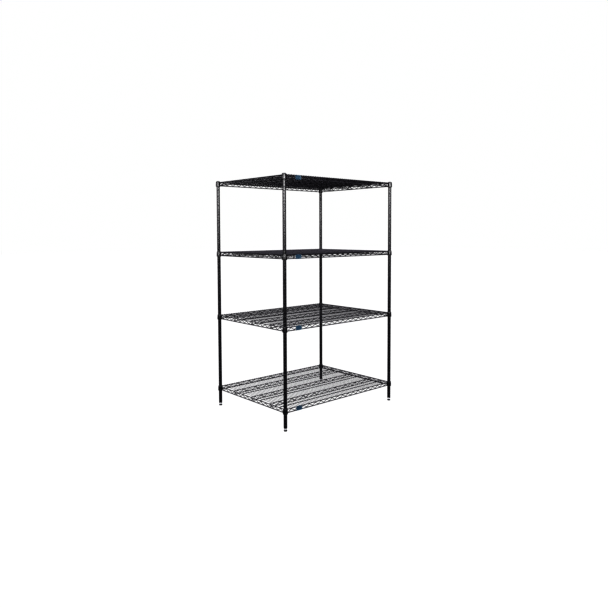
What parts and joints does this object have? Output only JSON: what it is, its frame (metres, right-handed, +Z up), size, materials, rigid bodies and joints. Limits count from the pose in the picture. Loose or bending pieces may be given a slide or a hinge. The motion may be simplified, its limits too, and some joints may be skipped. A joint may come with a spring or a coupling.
{
  "type": "wire shelving rack",
  "caption": "Free-standing rack of open wire shelves that clip at any height onto grooved round posts with levelling feet.",
  "frame": {"origin": "on the floor, at the centre of the four posts", "axes": "+X along the long side to the right, +Y from the tagged front to the back, +Z up"},
  "size_m": [1.2108, 0.9056, 1.9],
  "materials": {
    "black_epoxy": "gloss black epoxy coat on steel wire and tube",
    "cap_plastic": "moulded, satin",
    "foot_plastic": "moulded, fine texture",
    "zinc_plated_steel": "bright zinc plate",
    "tag_plastic": "moulded, plain blue, blank"
  },
  "bodies": {
    "posts": {"post_front_left": "black_epoxy", "post_cap_front_left": "cap_plastic", "foot_insert_front_left": "cap_plastic", "post_front_right": "black_epoxy", "post_cap_front_right": "cap_plastic", "foot_insert_front_right": "cap_plastic", "post_back_left": "black_epoxy", "post_cap_back_left": "cap_plastic", "foot_insert_back_left": "cap_plastic", "post_back_right": "black_epoxy", "post_cap_back_right": "cap_plastic", "foot_insert_back_right": "cap_plastic", "bottom_shelf_sleeves": "cap_plastic", "lower_shelf_sleeves": "cap_plastic", "upper_shelf_sleeves": "cap_plastic", "top_shelf_sleeves": "cap_plastic"},
    "bottom_shelf": {"bottom_shelf_front_truss": "black_epoxy", "bottom_shelf_back_truss": "black_epoxy", "bottom_shelf_left_truss": "black_epoxy", "bottom_shelf_right_truss": "black_epoxy", "bottom_shelf_deck_wires": "black_epoxy", "bottom_shelf_ribs": "black_epoxy", "bottom_shelf_collars": "black_epoxy", "bottom_shelf_tag": "tag_plastic"},
    "lower_shelf": {"lower_shelf_front_truss": "black_epoxy", "lower_shelf_back_truss": "black_epoxy", "lower_shelf_left_truss": "black_epoxy", "lower_shelf_right_truss": "black_epoxy", "lower_shelf_deck_wires": "black_epoxy", "lower_shelf_ribs": "black_epoxy", "lower_shelf_collars": "black_epoxy", "lower_shelf_tag": "tag_plastic"},
    "upper_shelf": {"upper_shelf_front_truss": "black_epoxy", "upper_shelf_back_truss": "black_epoxy", "upper_shelf_left_truss": "black_epoxy", "upper_shelf_right_truss": "black_epoxy", "upper_shelf_deck_wires": "black_epoxy", "upper_shelf_ribs": "black_epoxy", "upper_shelf_collars": "black_epoxy", "upper_shelf_tag": "tag_plastic"},
    "top_shelf": {"top_shelf_front_truss": "black_epoxy", "top_shelf_back_truss": "black_epoxy", "top_shelf_left_truss": "black_epoxy", "top_shelf_right_truss": "black_epoxy", "top_shelf_deck_wires": "black_epoxy", "top_shelf_ribs": "black_epoxy", "top_shelf_collars": "black_epoxy", "top_shelf_tag": "tag_plastic"},
    "foot_pad_front_left": {"foot_pad_front_left": "foot_plastic"},
    "foot_stem_front_left": {"foot_stem_front_left": "zinc_plated_steel"},
    "foot_pad_front_right": {"foot_pad_front_right": "foot_plastic"},
    "foot_stem_front_right": {"foot_stem_front_right": "zinc_plated_steel"},
    "foot_pad_back_left": {"foot_pad_back_left": "foot_plastic"},
    "foot_stem_back_left": {"foot_stem_back_left": "zinc_plated_steel"},
    "foot_pad_back_right": {"foot_pad_back_right": "foot_plastic"},
    "foot_stem_back_right": {"foot_stem_back_right": "zinc_plated_steel"}
  },
  "joints": [
    {"name": "bottom_shelf_lift", "type": "slide", "parent": "posts", "child": "bottom_shelf", "axis": [0, 0, 1], "range_m": [0, 0.569]},
    {"name": "lower_shelf_lift", "type": "slide", "parent": "posts", "child": "lower_shelf", "axis": [0, 0, 1], "range_m": [0, 0.4928]},
    {"name": "upper_shelf_lift", "type": "slide", "parent": "posts", "child": "upper_shelf", "axis": [0, 0, 1], "range_m": [0, 0.5436]},
    {"name": "top_shelf_lift", "type": "slide", "parent": "posts", "child": "top_shelf", "axis": [0, 0, 1], "range_m": [0, 0.06]},
    {"name": "foot_front_left_extend", "type": "slide", "parent": "posts", "child": "foot_pad_front_left", "axis": [0, 0, -1], "range_m": [0, 0.019]},
    {"name": "foot_front_left_turn", "type": "hinge", "parent": "foot_pad_front_left", "child": "foot_stem_front_left", "pos_m": [-0.587, -0.4345, 0.0178], "axis": [0, 0, -1], "range_deg": [0, 4320]},
    {"name": "foot_front_right_extend", "type": "slide", "parent": "posts", "child": "foot_pad_front_right", "axis": [0, 0, -1], "range_m": [0, 0.019]},
    {"name": "foot_front_right_turn", "type": "hinge", "parent": "foot_pad_front_right", "child": "foot_stem_front_right", "pos_m": [0.587, -0.4345, 0.0178], "axis": [0, 0, -1], "range_deg": [0, 4320]},
    {"name": "foot_back_left_extend", "type": "slide", "parent": "posts", "child": "foot_pad_back_left", "axis": [0, 0, -1], "range_m": [0, 0.019]},
    {"name": "foot_back_left_turn", "type": "hinge", "parent": "foot_pad_back_left", "child": "foot_stem_back_left", "pos_m": [-0.587, 0.4345, 0.0178], "axis": [0, 0, -1], "range_deg": [0, 4320]},
    {"name": "foot_back_right_extend", "type": "slide", "parent": "posts", "child": "foot_pad_back_right", "axis": [0, 0, -1], "range_m": [0, 0.019]},
    {"name": "foot_back_right_turn", "type": "hinge", "parent": "foot_pad_back_right", "child": "foot_stem_back_right", "pos_m": [0.587, 0.4345, 0.0178], "axis": [0, 0, -1], "range_deg": [0, 4320]}
  ],
  "couplings": [
    {"joint": "foot_front_left_turn", "follows": "foot_front_left_extend", "rad_per_m": 3957.9},
    {"joint": "foot_front_right_turn", "follows": "foot_front_right_extend", "rad_per_m": 3957.9},
    {"joint": "foot_back_left_turn", "follows": "foot_back_left_extend", "rad_per_m": 3957.9},
    {"joint": "foot_back_right_turn", "follows": "foot_back_right_extend", "rad_per_m": 3957.9}
  ]
}
